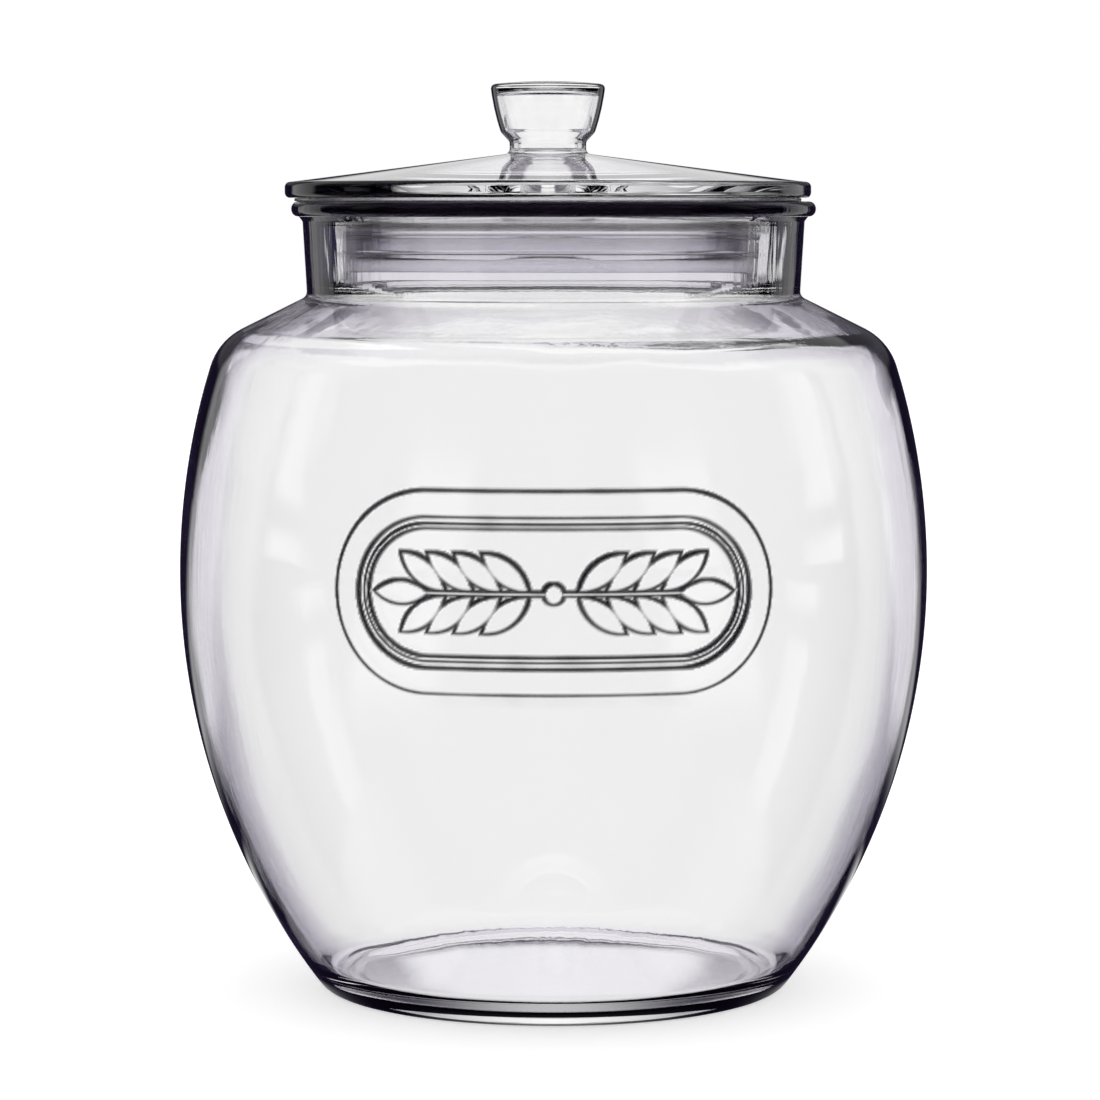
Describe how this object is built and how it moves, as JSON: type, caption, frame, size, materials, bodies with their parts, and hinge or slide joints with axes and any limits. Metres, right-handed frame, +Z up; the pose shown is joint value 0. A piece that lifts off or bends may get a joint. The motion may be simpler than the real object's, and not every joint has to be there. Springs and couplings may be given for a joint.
{
  "type": "storage jar",
  "caption": "Clear glass storage jar with a round belly, a short wide neck and a push-in glass lid that has a knob and a translucent ribbed seal.",
  "frame": {"origin": "centre of the standing ring, on the surface that the jar stands on", "axes": "+Z up through the neck and the lid's knob; the front with the raised label frame faces -Y"},
  "size_m": [0.2, 0.2, 0.2425],
  "materials": {
    "clear_glass": "clear, fire-polished, slightly wavy inside",
    "seal_plastic": "soft translucent moulded plastic"
  },
  "bodies": {
    "root": {"jar": "clear_glass", "lid": "clear_glass", "seal": "seal_plastic"}
  },
  "joints": []
}
